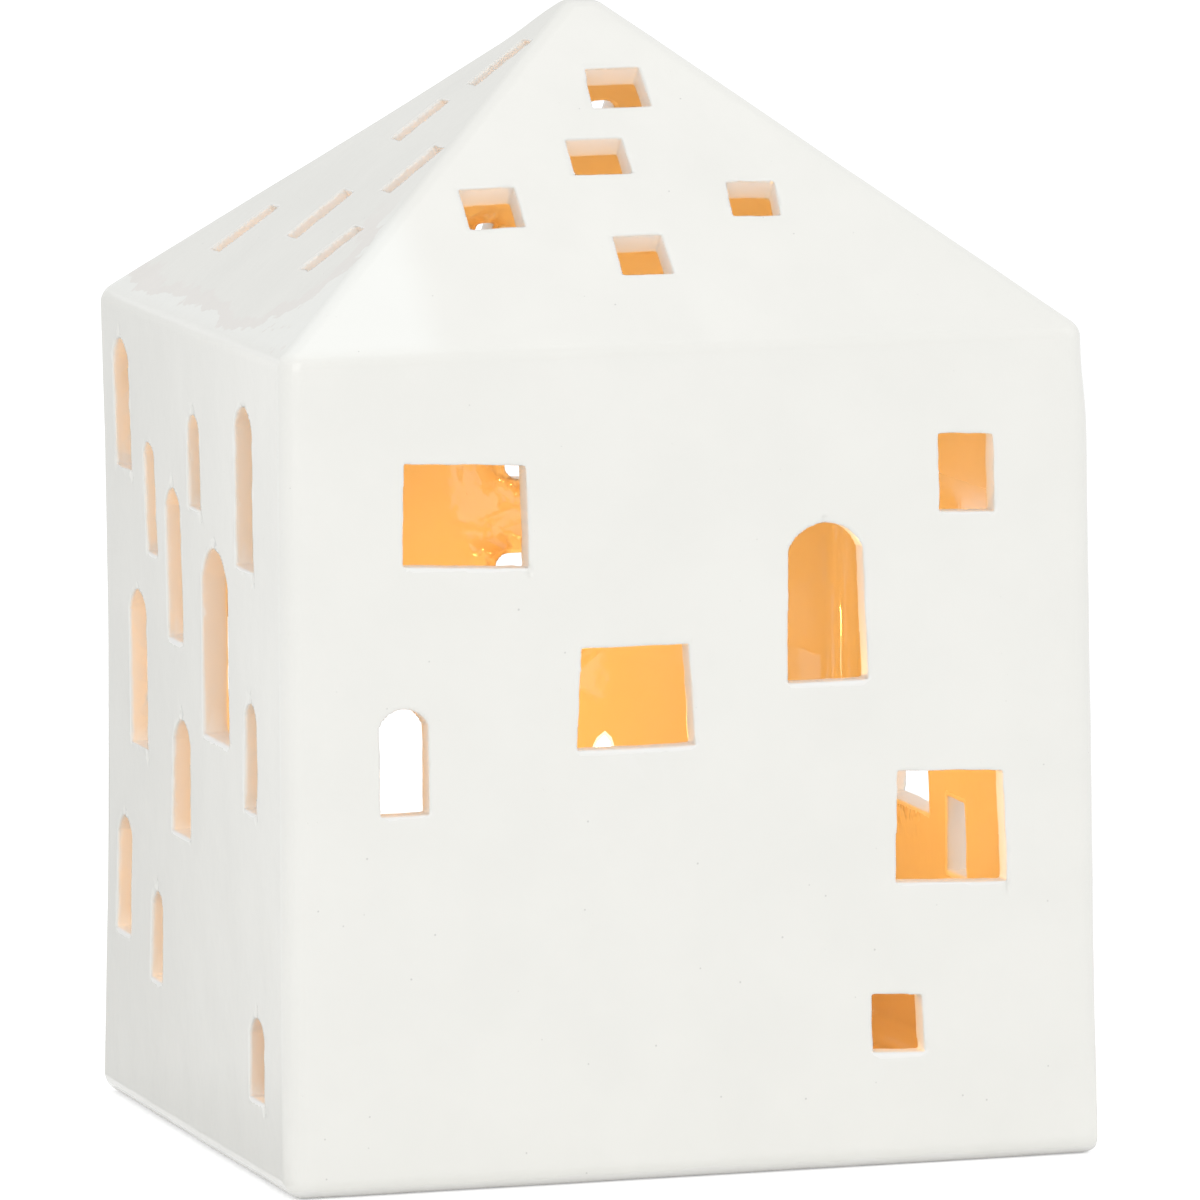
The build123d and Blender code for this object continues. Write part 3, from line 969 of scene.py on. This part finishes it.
def make_tealight_cup():
    """The pressed cup: a fluted wall, a stepped floor and a rolled rim."""
    rim = 0.45 * MM
    heel = 1.3 * MM
    floor = 0.35 * MM
    foot_ring = (9.6 * MM, 13.6 * MM)
    floor_radius = 9 * MM
    ring_bend = 0.1 * MM
    roll_start = 0.4 * MM
    wall_radius = cup_high.x - 2 * rim + cup_wall
    top = cup_high.z - rim
    inner = wall_radius - cup_wall
    outside = [(0.0, floor), (floor_radius, floor), (foot_ring[0], 0.0), (foot_ring[1], 0.0)]
    outside += arc_points((wall_radius - heel, heel), heel, -90, 0, 8)
    outside += line_points((wall_radius, heel), (wall_radius, top - roll_start), 30)
    roll = arc_points((wall_radius + rim - cup_wall, top), rim, 215, -125, 20)
    inside = line_points((inner, top - roll_start), (inner, heel), 30)
    inside += arc_points((inner - heel, heel + cup_wall), heel, 0, -90, 8)
    inside += [(foot_ring[1], cup_wall), (foot_ring[0] + ring_bend, cup_wall)]
    inside += [(floor_radius + ring_bend, floor + cup_wall), (0.0, floor + cup_wall)]
    mesh = turned_mesh("cup_of_foil", outside + roll + inside, 8 * cup_flutes)
    cup = new_object("cup_of_foil", mesh)
    values = {"High End": cup_high.z - 1.2 * MM, "Material": cup_aluminium}
    settle(add_tree(cup, make_flutes_tree(), values))
    smooth_faces(cup.data)
    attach(cup, "tealight")
    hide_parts("tealight_cup")
    return cup


def make_wax():
    """The wax with its melt pool, a worn shore round it and a meniscus at the wick."""
    radius = wax_high.x
    top = wax_high.z
    heel = 1.5 * MM
    lip = 0.5 * MM
    pool = top - 0.7 * MM
    meniscus = pool + 0.5 * MM
    shore_radius = 13.6 * MM
    profile = [(0.0, wax_low.z), (8 * MM, wax_low.z), (radius - heel, wax_low.z)]
    profile += arc_points((radius - heel, wax_low.z + heel), heel, -90, 0, 8)[1:]
    profile += line_points((radius, wax_low.z + heel), (radius, top - lip), 12)
    profile += arc_points((radius - lip, top - lip), lip, 0, 90, 6)[1:]
    profile += line_points((radius - lip, top), (shore_radius, top), 5)
    profile += [(13.0 * MM, top - 0.05 * MM), (12.4 * MM, top - 0.3 * MM), (11.6 * MM, pool + 0.1 * MM)]
    profile += line_points((11.2 * MM, pool), (2.4 * MM, pool), 12)
    profile += [(1.7 * MM, pool + 0.06 * MM), (1.15 * MM, pool + 0.22 * MM), (0.8 * MM, meniscus)]
    profile += [(0.0, meniscus)]
    wax = new_object("candle_wax_block", turned_mesh("candle_wax_block", profile, 160))
    for point in wax.data.vertices:
        flat = Vector((point.co.x, point.co.y, 0))
        if point.co.z > top - 0.6 * MM and 11 * MM < flat.length < 14 * MM:
            angle = np.arctan2(flat.y, flat.x)
            swell = 0.35 * sin(3 * angle + 0.6) + 0.2 * sin(7 * angle + 2.0) + 0.12 * sin(13 * angle)
            point.co += flat.normalized() * swell * MM
    wax.data.materials.append(candle_wax)
    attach(wax, "candle")
    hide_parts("wax")
    return wax


def make_wick_sustainer():
    """The tinplate disc with its stamped ring and the neck that grips the wick."""
    radius = sustainer_high.x
    low = sustainer_low.z
    top = sustainer_high.z
    edge = 0.1 * MM
    plate = low + 0.25 * MM
    ring = plate + 0.12 * MM
    neck = 1.25 * MM
    profile = [(0.0, low), (radius - edge, low), (radius, low + edge), (radius - edge, plate)]
    profile += [(4.6 * MM, plate), (4.3 * MM, ring), (3.7 * MM, ring), (3.4 * MM, plate)]
    profile += [(neck + 0.4 * MM, plate), (neck, plate + 0.4 * MM), (neck, top - 0.15 * MM)]
    profile += [(neck - 0.12 * MM, top), (0.75 * MM, top), (0.0, top - edge)]
    disc = new_object("wick_foot_plate", turned_mesh("wick_foot_plate", profile, 72))
    disc.data.materials.append(tinplate)
    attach(disc, "candle")
    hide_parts("wick_sustainer")
    return disc


def make_braid_tree():
    """Twists round strands about a curve."""
    inputs = {
        "Geometry": "Geometry", "Strands": 4, "Twists": 4.5, "Lay Radius": 0.36 * MM,
        "Strand Radius": 0.38 * MM, "Strand Sides": 10, "Steps": 110, "Material": "Material",
    }
    tree, start, end = new_tree("GeometryNodeTree", "braid", inputs, {"Geometry": "Geometry"})
    given = start.outputs
    spaced = put(tree, "GeometryNodeResampleCurve", {"Curve": given["Geometry"], "Count": given["Steps"]})
    inputs = {"Geometry": spaced.outputs[0], "Amount": given["Strands"]}
    copies = put(tree, "GeometryNodeDuplicateElements", inputs, domain="SPLINE")
    share = maths(tree, "DIVIDE", copies.outputs["Duplicate Index"], given["Strands"])
    along = put(tree, "GeometryNodeSplineParameter").outputs["Factor"]
    turn = product(tree, maths(tree, "MULTIPLY_ADD", along, given["Twists"], share), tau)
    tangent = put(tree, "GeometryNodeInputTangent").outputs[0]
    side = vectors(tree, "NORMALIZE", vectors(tree, "CROSS_PRODUCT", tangent, (0.0, 1.0, 0.0)))
    other = vectors(tree, "CROSS_PRODUCT", tangent, side)
    side = scaled(tree, side, maths(tree, "COSINE", turn))
    other = scaled(tree, other, maths(tree, "SINE", turn))
    offset = scaled(tree, vectors(tree, "ADD", side, other), given["Lay Radius"])
    laid = put(tree, "GeometryNodeSetPosition", {"Geometry": copies.outputs[0], "Offset": offset})
    inputs = {"Resolution": given["Strand Sides"], "Radius": given["Strand Radius"]}
    ring = put(tree, "GeometryNodeCurvePrimitiveCircle", inputs)
    inputs = {"Curve": laid.outputs[0], "Profile Curve": ring.outputs[0], "Fill Caps": True}
    tube = put(tree, "GeometryNodeCurveToMesh", inputs)
    return end_geometry(tree, end, tube.outputs[0], given["Material"])


def make_wick():
    """The braided wick, bent over where it burns."""
    foot = Vector((0, 0, wick_low.z + 0.1 * MM))
    bend = Vector((0, 0, wick_high.z - 3.8 * MM))
    knee = Vector((0, 0, wick_high.z - 2.2 * MM))
    tip = Vector((wick_high.x - 0.9 * MM, 0, wick_high.z - 0.5 * MM))
    route = (foot, foot.lerp(bend, 0.5), bend, knee, tip)
    curve = bpy.data.curves.new("wick_path", "CURVE")
    curve.dimensions = "3D"
    spline = curve.splines.new("NURBS")
    spline.points.add(len(route) - 1)
    for point, place in zip(spline.points, route):
        point.co = (*place, 1)
    spline.order_u = 3
    spline.use_endpoint_u = True
    path = add_tree(new_object("wick_path", curve), make_braid_tree(), {"Material": wick_cotton})
    wick = new_object("braided_wick", evaluated_mesh(path))
    bpy.data.objects.remove(path)
    smooth_faces(wick.data)
    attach(wick, "candle")
    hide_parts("wick")
    return wick


def make_flame(name, width_share, tip, material):
    """A drop of light over the wick that leans a little to one side."""
    base = flame_base + (1 - width_share) * 4 * MM
    height = tip.z - base

    def lean(z):
        up = max(0.0, (z - base) / height)
        return Vector((tip.x, tip.y, 0)) * up ** 1.5

    profile = []
    rings = 40
    for i in range(rings + 1):
        up = i / rings
        swell = sin(pi * up ** 0.62) ** 0.45 if 0 < i < rings else 0.0
        profile.append((flame_radius * width_share * swell, base + height * up))
    flame = new_object(name, turned_mesh(name, profile, 40, centre_line=lean))
    flame.data.materials.append(material)
    flame.visible_shadow = False
    flame.visible_diffuse = False
    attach(flame, "candle")
    return flame


# Studio

def new_floor_white():
    """White paint that also glows as seen by the camera, and less in gloss and through glass."""
    made = bpy.data.materials.new("studio_floor_white")
    tree = emptied_tree(made)
    seen = put(tree, "ShaderNodeLightPath")
    reflected = maths(tree, "MAXIMUM", seen.outputs["Is Glossy Ray"], seen.outputs["Is Transmission Ray"])
    reflected = product(tree, reflected, floor_glow_reflected)
    direct = product(tree, seen.outputs["Is Camera Ray"], floor_glow_seen)
    glow = maths(tree, "MAXIMUM", reflected, direct)
    paint = put(tree, "ShaderNodeBsdfDiffuse", {"Color": (0.9, 0.9, 0.9, 1)})
    lift = put(tree, "ShaderNodeEmission", {"Color": (1, 1, 1, 1), "Strength": glow})
    both = put(tree, "ShaderNodeAddShader", {0: paint.outputs[0], 1: lift.outputs[0]})
    put(tree, "ShaderNodeOutputMaterial", {"Surface": both.outputs[0]})
    return made


def make_floor():
    """A pale floor that is white in the picture except where the house shades it."""
    mesh = bpy.data.meshes.new("studio_floor")
    signs = [(-1, -1), (1, -1), (1, 1), (-1, 1)]
    corners = [(x * floor_half_side, y * floor_half_side, 0) for x, y in signs]
    mesh.from_pydata(corners, [], [(0, 1, 2, 3)])
    floor = new_object("studio_floor", mesh)
    mesh.materials.append(new_floor_white())
    return floor


def make_grey_flag(name, left, right, front, back, low, high, left_grey, right_grey, low_share):
    """A bent card near the house, shaded across and darker below, that only its gloss reflects."""
    mesh = bpy.data.meshes.new(name)
    corners = [(left, front, low), (right, front, low), (right, back, low)]
    corners += [(left, back, low), (left, back, high), (right, back, high)]
    mesh.from_pydata(corners, [], [(0, 1, 2, 3), (3, 2, 5, 4)])
    flag = new_object(name, mesh)
    made = bpy.data.materials.new(name + "_card")
    tree = emptied_tree(made)
    across, _, height = axes_of(tree, tree.nodes.new("ShaderNodeTexCoord").outputs["Object"])
    grey = ramp(tree, across, left, right, left_grey, right_grey)
    shade = product(tree, grey, ramp(tree, height, low, high, low_share, 1.0, smooth=False))
    inputs = {0: shade, 1: shade, 2: product(tree, shade, 0.98)}
    colour = put(tree, "ShaderNodeCombineColor", inputs)
    paint = put(tree, "ShaderNodeEmission", {"Color": colour.outputs[0], "Strength": 1.0})
    put(tree, "ShaderNodeOutputMaterial", {"Surface": paint.outputs[0]})
    mesh.materials.append(made)
    for ray in ("camera", "diffuse", "transmission", "shadow"):
        setattr(flag, "visible_" + ray, False)
    return flag


def make_world():
    """Even white light from all round, and a plain white background."""
    world = bpy.data.worlds.new("studio")
    bpy.context.scene.world = world
    tree = emptied_tree(world)
    seen = put(tree, "ShaderNodeLightPath")
    direct = maths(tree, "MAXIMUM", seen.outputs["Is Camera Ray"], seen.outputs["Is Glossy Ray"])
    direct = maths(tree, "MAXIMUM", direct, seen.outputs["Is Transmission Ray"])
    light = put(tree, "ShaderNodeBackground", {"Color": (0.97, 0.985, 1.0, 1), "Strength": world_strength})
    white = put(tree, "ShaderNodeBackground", {"Color": (1, 1, 1, 1), "Strength": 1.0})
    mixed = put(tree, "ShaderNodeMixShader", {0: direct, 1: light.outputs[0], 2: white.outputs[0]})
    put(tree, "ShaderNodeOutputWorld", {"Surface": mixed.outputs[0]})


def make_soft_light(name, place, size, power, colour):
    """A square soft light that looks at the house."""
    lamp = bpy.data.lights.new(name, "AREA")
    lamp.shape = "SQUARE"
    lamp.size = size
    lamp.energy = power
    lamp.color = colour
    holder = new_object(name, lamp)
    holder.location = place
    holder.rotation_euler = (lamp_target - Vector(place)).to_track_quat("-Z", "Y").to_euler()
    return holder


def make_candle_light():
    """The light that the flame gives, which moves with the candle."""
    lamp = bpy.data.lights.new("candle_light", "POINT")
    lamp.energy = candle_light_watts
    lamp.color = (1.0, 0.51, 0.1)
    lamp.shadow_soft_size = candle_light_radius
    holder = new_object("candle_light", lamp)
    holder.location = candle_light_place
    holder.parent = frame["bodies"]["candle"]
    return holder


def make_camera():
    """The camera at the photograph's viewing point."""
    lens = bpy.data.cameras.new("camera")
    lens.sensor_fit = "HORIZONTAL"
    lens.sensor_width = camera_sensor
    lens.lens = camera_lens
    lens.clip_start = 0.1
    lens.clip_end = 20.0
    forward = Vector((
        sin(camera_azimuth) * cos(camera_elevation),
        cos(camera_azimuth) * cos(camera_elevation),
        -sin(camera_elevation),
    ))
    level_right = forward.cross(Vector((0, 0, 1))).normalized()
    level_up = level_right.cross(forward)
    right = level_right * cos(camera_roll) + level_up * sin(camera_roll)
    turn = Matrix((right, right.cross(forward), -forward)).transposed()
    camera = new_object("camera", lens)
    camera.matrix_world = Matrix.Translation(camera_place) @ turn.to_4x4()
    bpy.context.scene.camera = camera
    return camera


bpy.context.scene.view_settings.view_transform = "Standard"
make_camera()
make_world()
make_floor()
make_grey_flag("low_flag", -0.085, -0.0495, -0.043, 0.06, 0.0003, 0.1, 1.2, 0.72, 0.86)
make_grey_flag("high_flag", -0.2, 0.2, 0.35, 0.36, 0.17, 0.5, 0.8, 0.8, 0.95)
make_soft_light("left_softbox", (-0.83, -2.03, 0.74), 1.8, 9.7, (1.0, 0.99, 0.97))
make_soft_light("right_softbox", (1.5, -1.0, 0.95), 1.6, 2.1, (1.0, 0.98, 0.95))
make_soft_light("top_softbox", (0, -0.5, 2.3), 1.4, 2.4, (1.0, 0.99, 0.96))
make_candle_light()

make_house_shell()
make_tealight_cup()
make_wax()
make_wick_sustainer()
make_wick()
make_flame("flame_mantle", 1.0, flame_tip, flame_mantle_light)
make_flame("flame_core", 0.8, flame_tip - Vector((0.05, 0, 0.5)) * MM, flame_core_light)
